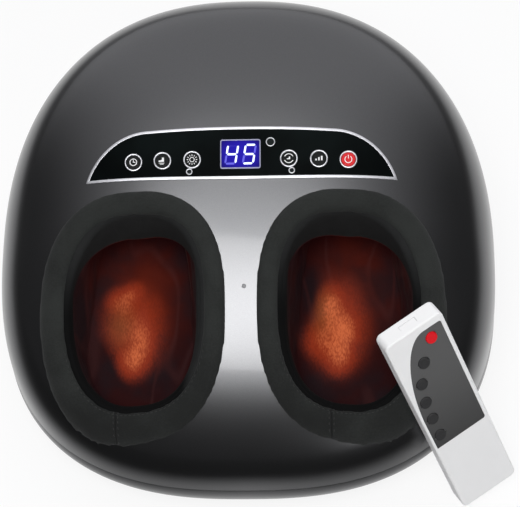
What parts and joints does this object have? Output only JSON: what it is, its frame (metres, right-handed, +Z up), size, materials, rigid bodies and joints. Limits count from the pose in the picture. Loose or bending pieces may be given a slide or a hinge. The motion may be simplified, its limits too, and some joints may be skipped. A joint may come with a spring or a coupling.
{
  "type": "foot massager",
  "caption": "Domed foot massager: wells with padded collars and fabric boots, gloss control panel, geared massage heads inside, and a leaning remote.",
  "frame": {"origin": "on the floor, under the middle of the housing's outline", "axes": "+Z up; the user sits on the -Y side, so -Y is the low front; +X is the user's right, the side where the remote leans"},
  "size_m": [0.4117, 0.3929, 0.2153],
  "materials": {
    "housing_plastic": "satin",
    "base_plastic": "satin",
    "bright_trim": "polished",
    "lens_black": "gloss",
    "display_glass": "gloss",
    "button_black": "gloss",
    "button_red": "gloss",
    "light_pipe": "gloss",
    "collar_fabric": "matt",
    "boot_fabric": "matt",
    "deck_plastic": "matt",
    "gear_plastic": "matt",
    "node_rubber": "matt",
    "steel": "brushed",
    "lamp_amber": "gloss",
    "pump_plastic": "matt",
    "bladder_vinyl": "matt",
    "hose_vinyl": "matt",
    "board_green": "matt",
    "component_dark": "matt",
    "foot_rubber": "matt",
    "remote_light": "satin",
    "remote_dark": "satin",
    "key_dark": "matt",
    "key_red": "matt",
    "cell_sleeve": "gloss"
  },
  "bodies": {
    "housing": {"top_cover": "housing_plastic", "base_cover": "base_plastic", "panel_trim": "bright_trim", "panel_lens": "lens_black", "panel_frame": "pump_plastic", "display_window": "display_glass", "display_module": "component_dark", "button_bezels": "bright_trim", "indicator_lights": "light_pipe", "control_board": "board_green", "tact_switches": "component_dark", "left_collar": "collar_fabric", "right_collar": "collar_fabric", "left_boot": "boot_fabric", "right_boot": "boot_fabric", "massage_deck": "deck_plastic", "head_axles": "steel", "heat_lamps": "lamp_amber", "gear_motor": "steel", "air_pump": "pump_plastic", "valve_block": "pump_plastic", "left_airbag": "bladder_vinyl", "right_airbag": "bladder_vinyl", "air_hoses": "hose_vinyl", "main_board": "board_green", "board_components": "component_dark", "power_inlet": "component_dark", "rubber_feet": "foot_rubber", "housing_screws": "steel", "pillar_plug": "button_black"},
    "drive": {"drive_gear": "gear_plastic", "motor_shaft": "steel"},
    "left_heel": {"left_heel_head": "gear_plastic", "left_heel_nodes": "node_rubber"},
    "right_heel": {"right_heel_head": "gear_plastic", "right_heel_nodes": "node_rubber"},
    "left_arch": {"left_arch_head": "gear_plastic", "left_arch_nodes": "node_rubber"},
    "right_arch": {"right_arch_head": "gear_plastic", "right_arch_nodes": "node_rubber"},
    "time_key": {"time_button": "button_black"},
    "mode_key": {"mode_button": "button_black"},
    "heat_key": {"heat_button": "button_black"},
    "air_key": {"air_button": "button_black"},
    "intensity_key": {"intensity_button": "button_black"},
    "power_key": {"power_button": "button_red"},
    "remote": {"remote_front_shell": "remote_light", "remote_back_shell": "remote_light", "remote_face_plate": "remote_dark", "remote_board": "board_green", "remote_window": "remote_dark", "remote_batteries": "cell_sleeve", "battery_contacts": "steel"},
    "battery_door": {"remote_battery_door": "remote_light"},
    "remote_power": {"remote_power_key": "key_red"},
    "remote_mode": {"remote_mode_key": "key_dark"},
    "remote_heat": {"remote_heat_key": "key_dark"},
    "remote_air": {"remote_air_key": "key_dark"},
    "remote_intensity": {"remote_intensity_key": "key_dark"},
    "remote_time": {"remote_time_key": "key_dark"}
  },
  "joints": [
    {"name": "drive_spin", "type": "hinge", "parent": "housing", "child": "drive", "pos_m": [0, -0.09945, 0.05175], "axis": [0, -0.1736, 0.9848], "continuous": true},
    {"name": "left_heel_spin", "type": "hinge", "parent": "housing", "child": "left_heel", "pos_m": [-0.084, -0.09945, 0.05175], "axis": [0, -0.1736, 0.9848], "continuous": true},
    {"name": "right_heel_spin", "type": "hinge", "parent": "housing", "child": "right_heel", "pos_m": [0.084, -0.09945, 0.05175], "axis": [0, -0.1736, 0.9848], "continuous": true},
    {"name": "left_arch_spin", "type": "hinge", "parent": "housing", "child": "left_arch", "pos_m": [-0.084, -0.02855, 0.06425], "axis": [0, -0.1736, 0.9848], "continuous": true},
    {"name": "right_arch_spin", "type": "hinge", "parent": "housing", "child": "right_arch", "pos_m": [0.084, -0.02855, 0.06425], "axis": [0, -0.1736, 0.9848], "continuous": true},
    {"name": "time_press", "type": "slide", "parent": "housing", "child": "time_key", "axis": [0, 0.342, -0.9397], "range_m": [0, 0.0008], "stiffness_N_per_m": 400, "springref_m": -0.0004},
    {"name": "mode_press", "type": "slide", "parent": "housing", "child": "mode_key", "axis": [0, 0.342, -0.9397], "range_m": [0, 0.0008], "stiffness_N_per_m": 400, "springref_m": -0.0004},
    {"name": "heat_press", "type": "slide", "parent": "housing", "child": "heat_key", "axis": [0, 0.342, -0.9397], "range_m": [0, 0.0008], "stiffness_N_per_m": 400, "springref_m": -0.0004},
    {"name": "air_press", "type": "slide", "parent": "housing", "child": "air_key", "axis": [0, 0.342, -0.9397], "range_m": [0, 0.0008], "stiffness_N_per_m": 400, "springref_m": -0.0004},
    {"name": "intensity_press", "type": "slide", "parent": "housing", "child": "intensity_key", "axis": [0, 0.342, -0.9397], "range_m": [0, 0.0008], "stiffness_N_per_m": 400, "springref_m": -0.0004},
    {"name": "power_press", "type": "slide", "parent": "housing", "child": "power_key", "axis": [0, 0.342, -0.9397], "range_m": [0, 0.0008], "stiffness_N_per_m": 400, "springref_m": -0.0004},
    {"name": "remote_lift", "type": "slide", "parent": "housing", "child": "remote", "axis": [0, 0, 1], "range_m": [0, 0.2]},
    {"name": "battery_door_slide", "type": "slide", "parent": "remote", "child": "battery_door", "axis": [0.3084, -0.2127, -0.9272], "range_m": [0, 0.012]},
    {"name": "remote_power_press", "type": "slide", "parent": "remote", "child": "remote_power", "axis": [-0.4663, 0.8158, -0.3422], "range_m": [0, 0.001], "stiffness_N_per_m": 250, "springref_m": -0.0006},
    {"name": "remote_mode_press", "type": "slide", "parent": "remote", "child": "remote_mode", "axis": [-0.4663, 0.8158, -0.3422], "range_m": [0, 0.001], "stiffness_N_per_m": 250, "springref_m": -0.0006},
    {"name": "remote_heat_press", "type": "slide", "parent": "remote", "child": "remote_heat", "axis": [-0.4663, 0.8158, -0.3422], "range_m": [0, 0.001], "stiffness_N_per_m": 250, "springref_m": -0.0006},
    {"name": "remote_air_press", "type": "slide", "parent": "remote", "child": "remote_air", "axis": [-0.4663, 0.8158, -0.3422], "range_m": [0, 0.001], "stiffness_N_per_m": 250, "springref_m": -0.0006},
    {"name": "remote_intensity_press", "type": "slide", "parent": "remote", "child": "remote_intensity", "axis": [-0.4663, 0.8158, -0.3422], "range_m": [0, 0.001], "stiffness_N_per_m": 250, "springref_m": -0.0006},
    {"name": "remote_time_press", "type": "slide", "parent": "remote", "child": "remote_time", "axis": [-0.4663, 0.8158, -0.3422], "range_m": [0, 0.001], "stiffness_N_per_m": 250, "springref_m": -0.0006}
  ],
  "couplings": [
    {"joint": "left_heel_spin", "follows": "drive_spin", "ratio": -1.3333},
    {"joint": "right_heel_spin", "follows": "drive_spin", "ratio": -1.3333},
    {"joint": "left_arch_spin", "follows": "drive_spin", "ratio": 1.3333},
    {"joint": "right_arch_spin", "follows": "drive_spin", "ratio": 1.3333}
  ]
}
